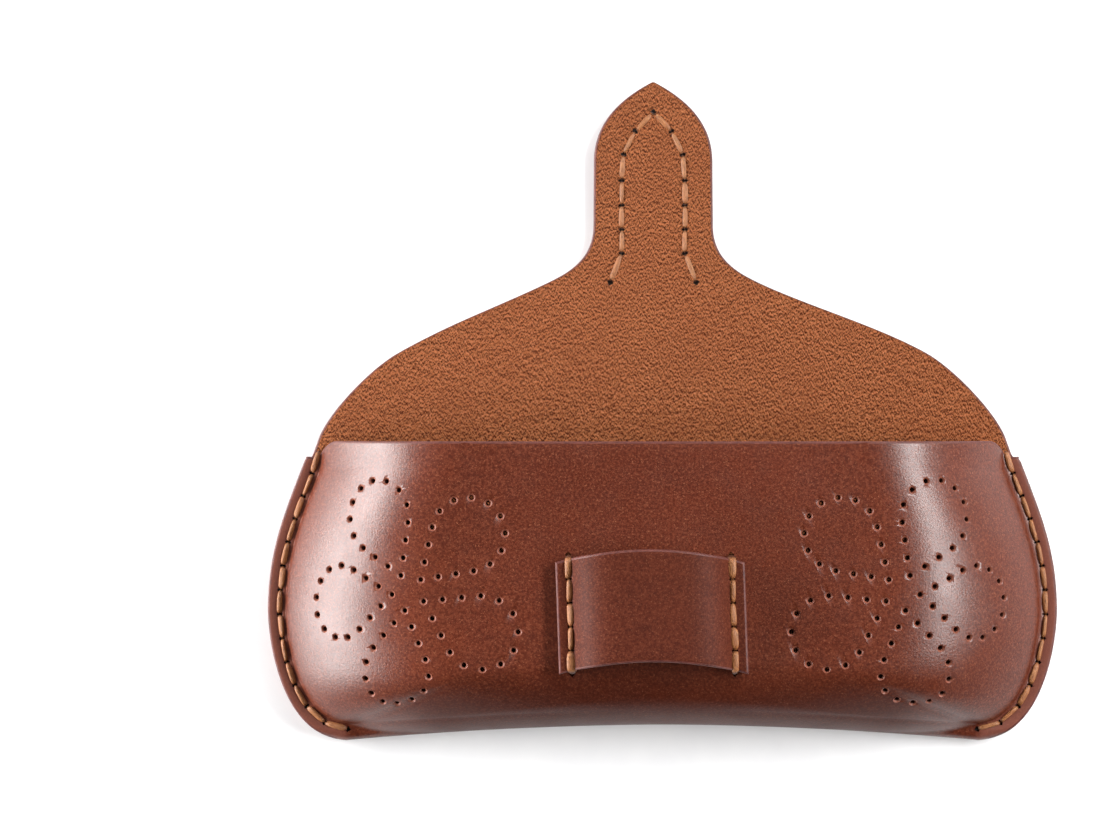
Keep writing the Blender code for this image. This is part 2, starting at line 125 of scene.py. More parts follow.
BACK_GROOVE_DEPTH = 0.95  # and the back's thread lies in a cut channel
BACK_GROOVE_HALF = 0.8
BACK_GROOVE_FADE = (0.3, 2.3)
BACK_MARGIN = (*RIM_STEPS, 1.1, 1.85, 1.95, 2.7, 3.45, 3.55, 4.1)
BACK_FOLD_SHARE = 0.25  # the back's margin steps are this much finer by the fold
BACK_TOP_Y = -12.0  # where the back's skin meets the flap's crease
FOLD_SHADE_Y = (5.0, 17.0)  # the painted shade and the duller finish along the bottom's turn fade out over these
FOLD_SHADE_X = (50.0, 68.0)
MARGIN_WEAR = 5.0  # and the paler margin fades in from its edge

# The flap's outline.
FLAP_SHOULDER = ((79.4, -6.35), (77.3, -0.6), (67.5, 9.8), (61.0, 13.4))
FLAP_SLOPE = ((61.0, 13.4), (49.6, 19.8), (36.8, 23.8), (25.0, 29.3))
FLAP_FILLET = ((25.0, 29.3), (20.0, 31.7), (13.8, 34.6), (13.8, 43.0))
FLAP_POINT = ((13.7, 56.0), (13.7, 60.0), (14.2, 68.8), (0.0, TIP_Y))
TONGUE_SHIFT = -2.1
TONGUE_SHIFT_Y = (13.0, 30.0)  # the tongue leans over between these
TONGUE_FROM = (14.0, 26.0)  # its half width and where its stitched part begins
TONGUE_SINK = 0.3  # its thread's dent above and channel below
TONGUE_CHANNEL = 0.85
TONGUE_THREAD_SINK = 0.25
FLAP_START = (80.9, -10.6)
FLAP_START_Y = FLAP_START[1]
FLAP_OUTLINE_START = (82.7, BACK_TOP_Y)
FLAP_SET_IN = 1.3  # the flap is this much narrower than the pocket
FLAP_ROW_GAP = 0.8
FLAP_COLUMNS = 80
WAVE = 0.16
TIP_LIFT = 0.25
CREASE_SKIN_TOP_Y = 4.0

# Stitching.
STITCH_INSET = 2.7
STITCH_PITCH = 5.6
SEAM_HOLES = 13
SEAM_START_Y = -14.3
SEAM_FIRST = (79.2, -9.3)
SEAM_RUN_ON = 6.0  # the seam's line runs on along the fold
SEAM_SINK = 0.2
KEEPER_STITCH = 18.4
KEEPER_GAPS = 5
TONGUE_STITCH_HALF = 7.3
TONGUE_STITCH_ROWS = (36.4, 41.9, 47.5, 53.2)
TONGUE_STITCH_TAIL = (9.9, 29.7)
TONGUE_STITCH_POINT = ((6.8, 59.2), (4.2, 64.6))
TONGUE_STITCH_TIP_Y = 69.0

# The punched flowers: petals are rings of holes, closed at a point near the middle.
FLOWER_X = 55.95
FLOWER_SHIFT = -2.25
FLOWER_Y = -41.1
FLOWER_TURN = 115.5
PETALS = 5
PETAL_REACH = 19.1
PETAL_RADIUS = 8.35
PETAL_START = 4.2
OUTER_SQUEEZE = {1: 1.0, -1: 0.91}  # the outer petals of the right and left flowers
PETAL_HOLES = (15, 15, 15, 14, 15)
PUNCH_RADIUS = 0.52
PUNCH_SIDES = 14
PUNCH_PROFILE = ((-3.4, 0.5), (-1.3, 0.6), (-0.7, 0.98), (-0.36, 1.04), (-0.06, 1.65),
                 (0.3, 2.45))  # heights and widths of the hole and its flared mouth
AWL_RADIUS = 0.78  # half diagonal of the diamond holes the thread fills
ABOVE = 100.0  # higher than anything on the case
WRAP_STEP = 0.4


# ---- small tools ----

def bezier(control, count):
    points = []
    for i in range(count + 1):
        t = i / count
        weights = ((1 - t) ** 3, 3 * t * (1 - t) ** 2, 3 * t * t * (1 - t), t ** 3)
        points.append(tuple(sum(w * p[a] for w, p in zip(weights, control)) for a in (0, 1)))
    return points


def part_way(a, b, t):
    return tuple(p + (q - p) * t for p, q in zip(a, b))


def mirrored(points):
    return [(-x, y) for x, y in reversed(points)]


def round_drop(d, radius):
    """How far a rounded edge falls at a distance d in from it."""
    if d >= radius:
        return 0.0
    return radius - math.sqrt(max(0.0, radius ** 2 - (radius - d) ** 2))


def smoothstep(low, high, value):
    t = min(max((value - low) / (high - low), 0.0), 1.0)
    return t * t * (3 - 2 * t)


def link_mesh(name, points, faces, kinds=None, weld=True):
    """A mesh object from points in millimetres; kinds are its faces' material slots."""
    mesh = bpy.data.meshes.new(name)
    mesh.from_pydata([Vector(p) * MM for p in points], [], faces)
    if kinds:
        mesh.polygons.foreach_set("material_index", kinds)
    work = bmesh.new()
    work.from_mesh(mesh)
    if weld:
        bmesh.ops.remove_doubles(work, verts=work.verts, dist=2e-6)
    bmesh.ops.recalc_face_normals(work, faces=work.faces)
    work.to_mesh(mesh)
    work.free()
    obj = bpy.data.objects.new(name, mesh)
    bpy.context.scene.collection.objects.link(obj)
    return obj


def settle(obj):
    """Applies an object's modifiers to its mesh."""
    depsgraph = bpy.context.evaluated_depsgraph_get()
    mesh = bpy.data.meshes.new_from_object(obj.evaluated_get(depsgraph))
    obj.modifiers.clear()
    obj.data = mesh


def cut_holes(obj, cutter):
    boolean = obj.modifiers.new("holes", "BOOLEAN")
    boolean.operation = "DIFFERENCE"
    boolean.solver = "EXACT"
    boolean.object = cutter
    boolean.material_mode = "TRANSFER"
    settle(obj)
    bpy.data.objects.remove(cutter)


def smooth(obj, angle):
    obj.data.shade_smooth()
    obj.data.set_sharp_from_angle(angle=math.radians(angle))


def coordinates(obj):
    co = np.zeros(len(obj.data.vertices) * 3)
    obj.data.vertices.foreach_get("co", co)
    return co.reshape(-1, 3) / MM


def add_values(obj, name, values):
    values = np.asarray(values, dtype=np.float32)
    kind = "FLOAT_VECTOR" if values.ndim == 2 else "FLOAT"
    attribute = obj.data.attributes.new(name, kind, "POINT")
    attribute.data.foreach_set("vector" if values.ndim == 2 else "value", values.ravel())


def nearness(obj, targets, reach):
    """1 for points of a mesh at a target in plan, falling to 0 at the given distance."""
    if not targets:
        return np.zeros(len(obj.data.vertices))
    tree = KDTree(len(targets))
    for i, (x, y) in enumerate(targets):
        tree.insert((x, y, 0.0), i)
    tree.balance()
    found = np.array([tree.find((x, y, 0.0))[2] for x, y, _ in coordinates(obj)])
    return np.clip(1 - found / reach, 0, 1)


# ---- the pocket's shape ----

def fold_y(x):
    share = abs(x) / FOLD_END_X
    return FOLD_CENTRE_Y + (FOLD_END_Y - FOLD_CENTRE_Y) * share ** FOLD_POWER


def fullness(x):
    return max(0.0, 1 - (x / FOLD_HALF) ** 2)


def fold_radius(x):
    return LAYERS / 2 + (FOLD_RADIUS_CENTRE - LAYERS / 2) * fullness(x)


def inward(points, i):
    before = points[max(i - 1, 0)]
    after = points[min(i + 1, len(points) - 1)]
    length = math.dist(before, after)
    return (after[1] - before[1]) / length, (before[0] - after[0]) / length


class Station:
    """One place on the pocket's outline, with the front's profile inward from it."""

    def __init__(self, point, normal, on_fold):
        self.point = point
        self.normal = normal
        self.on_fold = on_fold
        self.corner = math.dist((abs(point[0]), point[1]), JUNCTION)
        self.roundness = 1.0 if on_fold else 1 - smoothstep(0.0, CORNER_ROUND, self.corner)
        self.radius = fold_radius(point[0]) if on_fold else LAYERS / 2
        share = min(1.0, abs(point[0]) / FOLD_END_X)
        self.foot = MARGIN * share ** FOOT_POWER if on_fold else MARGIN
        self.power = DOME_POWER - FOLD_FULLNESS * (1 - share ** 4) if on_fold else DOME_POWER
        self.base = self.offset(MARGIN)
        self.set_core((point[0] * CORE_X, MOUTH_Y + (point[1] - MOUTH_Y) * CORE_Y))

    def set_core(self, core):
        self.core = core
        self.reach = MARGIN + math.dist(self.base, core)

    def offset(self, d):
        return (self.point[0] + self.normal[0] * d, self.point[1] + self.normal[1] * d)

    def plan(self, d):
        if d <= MARGIN:
            return self.offset(d)
        t = (d - MARGIN) / (self.reach - MARGIN)
        return part_way(self.base, self.core, t)

    def groove(self, d):
        """The line of stitches sinks a little into the margin."""
        if self.on_fold:
            return 0.0
        sunk = GROOVE_DEPTH * math.exp(-((d - STITCH_INSET) / GROOVE_WIDTH) ** 2)
        return sunk * smoothstep(*GROOVE_FADE, self.corner)

    def height(self, d):
        turn = RIM_ROUND + (self.radius - RIM_ROUND) * self.roundness
        lip = 2 * self.radius - round_drop(d, turn)
        t = min(max((d - self.foot) / (self.reach - self.foot), 0.0), 1.0)
        rise = math.sin(math.pi / 2 * t) ** self.power
        return lip + (DOME_TOP - CROWN - 2 * self.radius) * rise

    def pair(self, d):
        """Outer and inner points of the leather at d."""
        outer = (*self.plan(d), self.height(d) - self.groove(d))
        r = self.radius
        if d == 0 or d < min(r, self.foot):
            flat = (*self.offset(d), LAYERS - LEATHER)
            cos = (r - d) / r
            arc_height = r + (r - LEATHER) * math.sqrt(1 - cos * cos)
            arc = (*self.offset(r - (r - LEATHER) * cos), arc_height)
            return outer, part_way(flat, arc, self.roundness)
        step = min(0.25, d * 0.5)
        slope = (self.height(d + step) - self.height(d - step)) / (2 * step)
        if d >= self.reach - step:
            slope = 0.0
        scale = LEATHER / math.hypot(1.0, slope)
        return outer, (*self.plan(d + slope * scale), self.height(d) - scale)


SIDE = bezier(SIDE_UPPER, 34)[:-1] + bezier(SIDE_LOWER, 62)
JUNCTION = next(p for p in SIDE if p[1] < CORNER_Y and p[0] < JUNCTION_X)


def seam_edge(start_y=None):
    """The right seam's cut edge, from a height or its top, down to where the fold begins."""
    points = SIDE[:SIDE.index(JUNCTION)]
    if start_y is None:
        return points
    first = next(i for i, p in enumerate(points) if p[1] < start_y)
    before, after = points[first - 1], points[first]
    x, _ = part_way(before, after, (start_y - before[1]) / (after[1] - before[1]))
    return [(x, start_y)] + points[first:]


def fold_edge():
    """The outline along the bottom, where the leather turns under."""
    corner = SIDE[SIDE.index(JUNCTION):]
    count = 104
    middle = [(x, fold_y(x)) for x in (FOLD_END_X * (1 - 2 * i / count) for i in range(1, count))]
    return corner + middle + mirrored(corner)


def softened(points, passes):
    """A line of points evened out between its ends, which stay."""
    line = np.array(points)
    for _ in range(passes):
        line[1:-1] = (line[:-2] + 2 * line[1:-1] + line[2:]) / 4
    return [tuple(p) for p in line]


def pocket_stations(start_y=None):
    seam = seam_edge(start_y)
    fold = fold_edge()
    edge = seam + fold + mirrored(seam)
    kinds = [False] * len(seam) + [True] * len(fold) + [False] * len(seam)
    normals = softened([inward(edge, i) for i in range(len(edge))], NORMAL_SOFTENING)
    normals = [(x / math.hypot(x, y), y / math.hypot(x, y)) for x, y in normals]
    stations = [Station(p, normal, kind) for p, normal, kind in zip(edge, normals, kinds)]
    for station, core in zip(stations, softened([s.core for s in stations], CORNER_SOFTENING)):
        station.set_core(core)
    return stations


def mouth_drop(x):
    past = max(0.0, abs(x) - MOUTH_STRAIGHT)
    return min(MOUTH_END_DROP, past * past * MOUTH_CURVE)


def mouth_points(stations, y):
    """A point on the mouth's line for each station, in the stations' order."""
    wide = stations[0].core[0]
    travelled = [0.0]
    for a, b in zip(stations, stations[1:]):
        travelled.append(travelled[-1] + math.dist(a.core, b.core))
    return [(wide * (1 - 2 * t / travelled[-1]), y) for t in travelled]


SEAM_STEPS = (*RIM_STEPS, 0.9, 1.4, 1.9, 2.3, 2.7, 3.1, 3.5, 3.8, MARGIN)


def margin_distances(station):
    """Steps over the margin that crowd towards the edge or the fold's turn."""
    if not station.on_fold:
        return list(SEAM_STEPS)
    count = len(SEAM_STEPS) - 1
    return [MARGIN * (k / count) ** FOLD_CROWDING for k in range(count + 1)]


class Sheet:
    """Collects the grids of one leather shell, then makes it a mesh object."""

    def __init__(self):
        self.points = []
        self.faces = []
        self.kinds = []

    def add_row(self, row):
        first = len(self.points)
        self.points.extend(row)
        return list(range(first, first + len(row)))

    def strip(self, a, b, kind, rims=(0, 0)):
        """Faces between two rows, the first and last few of them burnished."""
        for k in range(len(a) - 1):
            self.faces.append((a[k], b[k], b[k + 1], a[k + 1]))
            at_rim = k < rims[0] or k >= len(a) - 1 - rims[1]
            self.kinds.append(RIM if at_rim else kind)

    def face(self, indices, kind):
        self.faces.append(indices)
        self.kinds.append(kind)

    def surface(self, rows, kind, rims=(0, 0)):
        for a, b in zip(rows, rows[1:]):
            self.strip(a, b, kind, rims)

    def rounded_rim(self, top, under):
        """A cut edge that faces +Y: a rounded shoulder on the top row, then a plain wall."""
        before = top
        for step in SHOULDER_STEPS:
            angle = math.pi / 2 * step
            row = [(x, y + RIM_ROUND * math.sin(angle), z - RIM_ROUND * (1 - math.cos(angle)))
                   for x, y, z in (self.points[i] for i in top)]
            row = self.add_row(row)
            self.strip(before, row, RIM)
            for end, pairs in ((0, (before[0], row[0])), (-1, (before[-1], row[-1]))):
                self.face((*pairs, under[end]), RIM)
            before = row
        self.strip(before, under, RIM)

    def outer_strip(self, stations, i, outer, inner):
        """The outer skin between two stations, with a cut edge by the seams."""
        on_fold = stations[i].on_fold and stations[i + 1].on_fold
        self.strip(outer[i], outer[i + 1], GRAIN, (0 if on_fold else RIM_FACES, 0))
        if not on_fold:
            self.face((outer[i][0], outer[i + 1][0], inner[i + 1][0], inner[i][0]), RIM)

    def walls(self, tops, bottoms):
        """Cut edges round the four sides of a strap."""
        for end in (0, -1):
            self.strip(tops[end], bottoms[end], RIM)
            self.strip([row[end] for row in tops], [row[end] for row in bottoms], RIM)

    def make(self, name):
        return link_mesh(name, self.points, self.faces, self.kinds)


def line_distance(point, line):
    best = 1e9
    for (x0, y0), (x1, y1) in zip(line, line[1:]):
        dx, dy = x1 - x0, y1 - y0
        t = ((point[0] - x0) * dx + (point[1] - y0) * dy) / max(dx * dx + dy * dy, 1e-9)
        t = min(max(t, 0.0), 1.0)
        best = min(best, math.hypot(point[0] - x0 - t * dx, point[1] - y0 - t * dy))
    return best


def front_rows(stations):
    """Rows of outer and inner points of the front, one row a station."""
    targets = mouth_points(stations, MOUTH_Y)
    core_line = [station.core for station in stations[::4]]
    outer_rows, inner_rows = [], []
    for i, (station, target) in enumerate(zip(stations, targets)):
        distances = margin_distances(station)
        distances += [MARGIN + (station.reach - MARGIN) * (k / FRONT_STEPS) ** FRONT_CROWDING
                      for k in range(1, FRONT_STEPS + 1)]
        outer, inner = [], []
        for d in distances:
            top, under = station.pair(d)
            outer.append(top)
            inner.append(under)
        at_end = i in (0, len(stations) - 1)
        for k in range(1, CORE_STEPS + 1):
            t = 0.0 if at_end else k / CORE_STEPS
            x, y = part_way(station.core, target, t)
            away = line_distance((x, y), core_line)
            lift = 0.0 if at_end else smoothstep(0.0, CROWN_REACH, away)
            z = DOME_TOP - CROWN * (1 - lift)
            outer.append((x, y, z))
            inner.append((x, y, z - LEATHER))
        if at_end:
            outer = [(x, MOUTH_Y - mouth_drop(x) - RIM_ROUND, z) for x, y, z in outer]
            inner = [(x, MOUTH_Y - mouth_drop(x), z) for x, y, z in inner]
        else:
            outer[-1] = (outer[-1][0], MOUTH_Y - RIM_ROUND, outer[-1][2])
        outer_rows.append(outer)
        inner_rows.append(inner)
    return outer_rows, inner_rows


def add_front(sheet, stations):
    outer_rows, inner_rows = front_rows(stations)
    outer = [sheet.add_row(row) for row in outer_rows]
    inner = [sheet.add_row(row) for row in inner_rows]
    sheet.surface(inner, SUEDE)
    for i in range(len(stations) - 1):
        sheet.outer_strip(stations, i, outer, inner)
    mouth_top = outer[0] + [row[-1] for row in outer[1:-1]] + outer[-1][::-1]
    mouth_under = inner[0] + [row[-1] for row in inner[1:-1]] + inner[-1][::-1]
    sheet.rounded_rim(mouth_top, mouth_under)


def add_fold(sheet, stations):
    """The turn under the bottom, welded to the front above and the back below."""
    outer, inner = [], []
    for station in stations:
        r = station.radius
        out_row, in_row = [], []
        for k in range(FOLD_STEPS + 1):
            angle = math.pi / 2 * k / FOLD_STEPS
            for row, size in ((out_row, r), (in_row, r - LEATHER)):
                x, y = station.offset(r - size * math.sin(angle))
                row.append((x, y, r - size * math.cos(angle)))
        outer.append(sheet.add_row(out_row))
        inner.append(sheet.add_row(in_row))
    sheet.surface(outer, GRAIN)
    sheet.surface(inner, SUEDE)
    for end in (0, -1):
        sheet.strip(outer[end], inner[end], GRAIN)


def add_back(sheet, stations):
    targets = mouth_points(stations, BACK_TOP_Y)
    outer, inner = [], []
    for i, (station, goal) in enumerate(zip(stations, targets)):
        out_row, in_row = [], []
        for d in BACK_MARGIN:
            depth = 0.0
            if station.on_fold:
                x, y = station.offset(station.radius + BACK_FOLD_SHARE * d)
            else:
                x, y = station.offset(d)
                if abs(d - STITCH_INSET) < BACK_GROOVE_HALF:
                    depth = BACK_GROOVE_DEPTH * smoothstep(*BACK_GROOVE_FADE, station.corner)
                depth += round_drop(d, RIM_ROUND)
            out_row.append((x, y, depth))
            in_row.append((x, y, LEATHER))
        start = out_row[-1][:2]
        for k in range(1, BACK_STEPS + 1):
            x, y = part_way(start, goal, k / BACK_STEPS)
            out_row.append((x, y, 0.0))
            in_row.append((x, y, LEATHER))
        if i in (0, len(stations) - 1):
            out_row = [(x, BACK_TOP_Y, z) for x, y, z in out_row]
            in_row = [(x, BACK_TOP_Y, z) for x, y, z in in_row]
        outer.append(sheet.add_row(out_row))
        inner.append(sheet.add_row(in_row))
    sheet.surface(inner, SUEDE)
    for i in range(len(stations) - 1):
        sheet.outer_strip(stations, i, outer, inner)
        sheet.face((outer[i][-1], outer[i + 1][-1], inner[i + 1][-1], inner[i][-1]), RIM)
    sheet.strip(outer[0], inner[0], RIM)
    sheet.strip(outer[-1], inner[-1], RIM)


# ---- hole positions ----

def along(points, start, pitch, count):
    found = []
    target = start
    travelled = 0.0
    for a, b in zip(points, points[1:]):
        length = math.dist(a, b)
        while len(found) < count and travelled + length >= target:
            found.append(part_way(a, b, (target - travelled) / length))
            target += pitch
        travelled += length
    return found


def seam_holes(side):
    edge = bezier(SIDE_UPPER, 40)[:-1] + bezier(SIDE_LOWER, 60)
    edge += [(x, fold_y(x)) for x in (FOLD_HALF, FOLD_HALF - SEAM_RUN_ON)]
    line = []
    for i, (x, y) in enumerate(edge):
        nx, ny = inward(edge, i)
        line.append((x + nx * STITCH_INSET, y + ny * STITCH_INSET))
    line = [p for p in line if p[1] <= SEAM_START_Y]
    holes = [SEAM_FIRST] + along(line, 0.0, STITCH_PITCH, SEAM_HOLES)
    return [(side * x, y) for x, y in holes]


def tongue_holes():
    right = [TONGUE_STITCH_TAIL]
    right += [(TONGUE_STITCH_HALF, y) for y in TONGUE_STITCH_ROWS]
    right += list(TONGUE_STITCH_POINT)
    holes = right + [(0.0, TONGUE_STITCH_TIP_Y)] + mirrored(right)
    return [(x + TONGUE_SHIFT, y) for x, y in holes]


def petal_outline():
    """One petal as a closed line: a point near the flower's middle and a round end."""
    start = (PETAL_START, 0.0)
    half = math.acos(PETAL_RADIUS / (PETAL_REACH - PETAL_START))
    line = []
    steps = 40
    for i in range(steps + 1):
        angle = (math.pi - half) * (1 - 2 * i / steps)
        line.append((PETAL_REACH + PETAL_RADIUS * math.cos(angle), PETAL_RADIUS * math.sin(angle)))
    return [start] + line + [start]


def flower_holes():
    """The flower's holes in flat leather, about its middle."""
    holes = []
    line = petal_outline()
    length = sum(math.dist(a, b) for a, b in zip(line, line[1:]))
    for k, count in enumerate(PETAL_HOLES):
        turn = math.radians(FLOWER_TURN + 360.0 * k / PETALS)
        for x, y in along(line, 0.0, length / count, count):
            holes.append((x * math.cos(turn) - y * math.sin(turn),
                          x * math.sin(turn) + y * math.cos(turn)))
    return holes


def drop_on(tree, x, y):
    """The surface's point and normal straight below a plan position."""
    hit, normal, _, _ = tree.ray_cast(Vector((x, y, ABOVE)) * MM, Vector((0, 0, -1)))
    return (hit / MM, normal) if hit else (None, None)


def wrap(tree, centre, flat):
    """Walks from the centre over the surface, to where a flat pattern's point comes."""
    distance = math.hypot(*flat)
    steps = max(1, int(distance / WRAP_STEP))
    x, y = centre
    for _ in range(steps):
        _, normal = drop_on(tree, x, y)
        if normal is None:
            break
        slope_x = -normal.x / normal.z
        slope_y = -normal.y / normal.z
        x += flat[0] / steps / math.hypot(1.0, slope_x)
        y += flat[1] / steps / math.hypot(1.0, slope_y)
    return x, y


Punch = namedtuple("Punch", "centre normal profile radius sides spin", defaults=(0.0,))


def add_punch(points, faces, centre, normal, profile, radius, sides, spin=0.0):
    """A closed turned cutter along a normal. The profile is of (height, width) pairs."""
    turn = normal.to_track_quat("Z", "Y").to_matrix()
    rings = []
    for height, width in profile:
        ring = []
        for k in range(sides):
            angle = spin + 2 * math.pi * k / sides
            x, y = math.cos(angle) * width * radius, math.sin(angle) * width * radius
            ring.append(len(points))
            points.append(tuple(Vector(centre) + turn @ Vector((x, y, height))))
        rings.append(ring)
    faces += [rings[0], rings[-1]]
    for a, b in zip(rings, rings[1:]):
        for k in range(sides):
            j = (k + 1) % sides
            faces.append((a[k], a[j], b[j], b[k]))


def make_cutter(name, punches, *materials):
    """Cutters of the given punches. A second material goes on their flared mouths."""
    points, faces, kinds = [], [], []
    for punch in punches:
        add_punch(points, faces, *punch)
        flared = 2 * punch.sides if punch.profile is PUNCH_PROFILE else 0
        kinds += [int(k >= len(faces) - flared) for k in range(len(kinds), len(faces))]
    cutter = link_mesh(name, points, faces, kinds)
    for material in materials:
        cutter.data.materials.append(material)
    return cutter


def awls(holes, low, high):
    """Upright diamond-shaped stitch holes, each turned along its line of holes."""
    profile = ((low, 1.0), (high, 1.0))
    punches = []
    for i, hole in enumerate(holes):
        a = holes[max(i - 1, 0)]
        b = holes[min(i + 1, len(holes) - 1)]
        spin = math.atan2(b[1] - a[1], b[0] - a[0])
        punches.append(Punch((*hole, 0.0), Vector((0, 0, 1)), profile, AWL_RADIUS, 4, spin))
    return punches


# ---- nodes ----

class Graph:
    """Short calls for building a material's nodes."""

    def __init__(self, name):
        self.material = bpy.data.materials.new(name)
        self.material.use_nodes = True
        self.tree = self.material.node_tree
        self.shader = self.tree.nodes["Principled BSDF"]

    def add(self, kind, inputs=None, **settings):
        made = self.tree.nodes.new(kind)
        for key, value in settings.items():
            setattr(made, key, value)
        for key, value in (inputs or {}).items():
            self.put(made.inputs[key], value)
        return made

    def put(self, socket, value):
        if isinstance(value, bpy.types.NodeSocket):
            self.tree.links.new(value, socket)
        else:
            socket.default_value = value

    def value(self, name, output="Fac"):
        return self.add("ShaderNodeAttribute", attribute_name=name).outputs[output]

    def rest(self):
        return self.value("rest", "Vector")

    def stretched(self, vector, scale, turn=0.0):
        inputs = {"Vector": vector, "Scale": scale, "Rotation": (0, 0, turn)}
        return self.add("ShaderNodeMapping", inputs).outputs[0]

    def noise(self, vector, scale, detail=2.0, rough=0.5, warp=0.0):
        inputs = {"Vector": vector, "Scale": scale, "Detail": detail, "Roughness": rough,
                  "Distortion": warp}
        return self.add("ShaderNodeTexNoise", inputs).outputs["Fac"]

    def cells(self, vector, scale):
        inputs = {"Vector": vector, "Scale": scale}
        return self.add("ShaderNodeTexVoronoi", inputs).outputs["Distance"]

    def between(self, value, low, high, to_low=0.0, to_high=1.0):
        inputs = {"Value": value, "From Min": low, "From Max": high, "To Min": to_low,
                  "To Max": to_high}
        return self.add("ShaderNodeMapRange", inputs).outputs[0]

    def math(self, operation, *values):
        return self.add("ShaderNodeMath", dict(enumerate(values)), operation=operation).outputs[0]

    def mix(self, share, a, b):
        inputs = {"Factor": share, "A": a, "B": b}
        return self.add("ShaderNodeMix", inputs, data_type="RGBA").outputs["Result"]

    def tint(self, colour, value, low, high, amount, towards):
        """Blends a colour in as a value rises from low to high, up to an amount."""
        return self.mix(self.between(value, low, high, 0.0, amount), colour, rgb(*towards))

    def bump(self, height, strength, distance, under=None):
        """A bump of a depth in millimetres, over another if one is given."""
        inputs = {"Height": height, "Strength": strength, "Distance": distance * MM}
        if under is not None:
            inputs["Normal"] = under
        return self.add("ShaderNodeBump", inputs).outputs[0]

    def finish(self, colour, roughness, normal, **constants):
        self.put(self.shader.inputs["Base Color"], colour)
        self.put(self.shader.inputs["Roughness"], roughness)
        self.put(self.shader.inputs["Normal"], normal)
        for name, value in constants.items():
            self.shader.inputs[name.replace("_", " ")].default_value = value
        return self.material


def rgb(r, g, b):
    """A linear colour from 0-255 display values."""
    linear = []
    for value in (r, g, b):
        v = value / 255
        linear.append(v / 12.92 if v <= 0.04045 else ((v + 0.055) / 1.055) ** 2.4)
    return (*linear, 1.0)


def grain_material(name, smoothest, roughest, shine, depth):
    """Waxy brown leather: mottled dye, fine grain and paler wear, with painted shade along the
    bottom's turn and round holes; depth darkens it.
    """
    g = Graph(name)
    rest = g.rest()
    broad = g.noise(rest, 0.028, 3.0, 0.55, 0.4)
    cloudy = g.noise(rest, 0.16, 4.0, 0.6)
    fine = g.noise(rest, 1.7, 4.0, 0.72)
    specks = g.noise(rest, 2.7, 3.0, 0.7)
    colour = g.mix(g.between(broad, 0.35, 0.68), rgb(75, 28, 14), rgb(90, 38, 22))
    colour = g.tint(colour, cloudy, 0.36, 0.7, 0.5, (72, 27, 13))
    colour = g.tint(colour, fine, 0.48, 0.64, 0.62, (112, 56, 36))
    colour = g.tint(colour, fine, 0.5, 0.36, 0.6, (58, 20, 9))
    colour = g.tint(colour, specks, 0.58, 0.7, 0.6, (154, 94, 66))
    colour = g.mix(depth, colour, rgb(48, 16, 7))
    # Painted shade: the leather is darker, and also duller, along the bottom's turn (the fold
    # attribute).
    fold = g.value("fold")
    colour = g.tint(colour, fold, 0.0, 1.0, 0.5, (44, 13, 5))
    colour = g.tint(colour, g.value("margin"), 0.12, 0.5, 0.55, (126, 78, 66))
    colour = g.tint(colour, g.value("edge"), 0.5, 1.0, 0.8, (58, 24, 22))
    # Painted shade round the punched holes and stitch holes.
    colour = g.tint(colour, g.value("hole_shade"), 0.45, 1.0, 0.7, (40, 14, 8))
    uneven = g.math("ADD", g.math("MULTIPLY", fine, 0.6), cloudy)
    roughness = g.between(uneven, 0.5, 1.1, smoothest, roughest)
    roughness = g.math("MULTIPLY_ADD", fold, 0.1, roughness)
    shine = g.between(fold, 0.0, 1.0, shine, shine * 0.3)
    pores = g.cells(rest, 2.3)
    normal = g.bump(pores, 0.2, 0.1)
    normal = g.bump(fine, 0.25, 0.12, normal)
    normal = g.bump(cloudy, 0.12, 0.5, normal)
    g.put(g.shader.inputs["Specular IOR Level"], shine)
    return g.finish(colour, roughness, normal)


NAP_SHADE_SHIFT = (0.14, 0.15, 0.0)  # the painted highlight and painted shade on each pebble's two sides come from this shift


def suede_material(name):
    """The leather's flesh side: a short directional nap, its pebbles painted lighter on one side
    and darker on the other as painted highlight and shade, and mottled.
    """
    g = Graph(name)
    rest = g.rest()
    nap_space = g.stretched(rest, (1.0, 0.6, 1.0), math.radians(-38))
    beside = g.add("ShaderNodeVectorMath", {0: nap_space, 1: NAP_SHADE_SHIFT}, operation="ADD").outputs[0]
    pebble, shifted = (g.noise(space, 2.5, 2.0, 0.6, 0.5) for space in (nap_space, beside))
    nap_shading = g.math("SUBTRACT", pebble, shifted)
    fibre = g.noise(nap_space, 3.4, 3.0, 0.7)
    broad = g.noise(rest, 0.05, 4.0, 0.6)
    # Painted highlight and painted shade: each pebble's one side lighter, the other darker.
    colour = g.mix(g.between(nap_shading, -0.1, 0.12), rgb(62, 26, 11), rgb(156, 91, 54))
    colour = g.tint(colour, fibre, 0.5, 0.68, 0.5, (190, 124, 82))
    colour = g.tint(colour, broad, 0.38, 0.7, 0.25, (108, 55, 31))
    colour = g.tint(colour, g.value("edge"), 0.4, 1.0, 0.7, (78, 38, 26))
    # Painted shade round the holes.
    colour = g.tint(colour, g.value("hole_shade"), 0.2, 1.0, 0.8, (48, 22, 12))
    height = g.math("ADD", pebble, g.math("MULTIPLY", fibre, 0.5))
    normal = g.bump(height, 1.0, 0.6)
    return g.finish(colour, 0.93, normal, Specular_IOR_Level=0.12)


